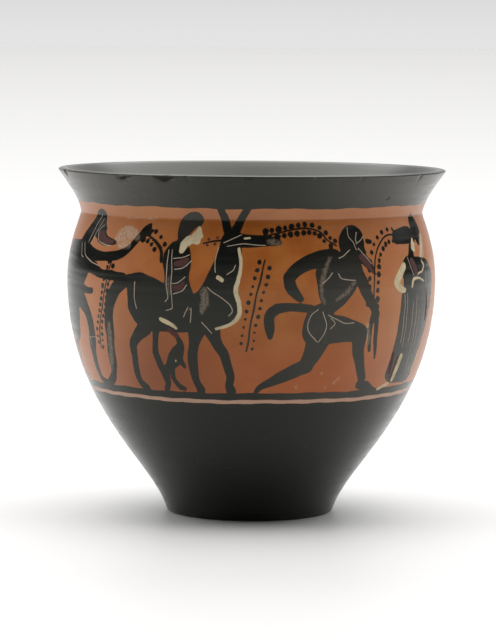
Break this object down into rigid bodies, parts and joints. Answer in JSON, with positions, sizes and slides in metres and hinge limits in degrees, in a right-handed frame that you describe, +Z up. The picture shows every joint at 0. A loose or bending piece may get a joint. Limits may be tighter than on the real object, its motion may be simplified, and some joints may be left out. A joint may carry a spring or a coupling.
{
  "type": "mastos cup",
  "caption": "Handleless wheel-thrown clay drinking cup with a small flat foot, deep rounded belly, crisp neck and flaring lip, painted in black figures.",
  "frame": {"origin": "middle of the underside, on the surface the cup stands on", "axes": "+Z up along the axis the cup was thrown on, -Y towards the viewer of the picture band's main side, +X to that viewer's right"},
  "size_m": [0.104, 0.104, 0.0927],
  "materials": {
    "painted_clay": "black gloss slip over orange fired clay, with an orange picture band on the belly; gloss_plastic stands for glossy fired slip"
  },
  "bodies": {
    "root": {"cup": "painted_clay"}
  },
  "joints": []
}
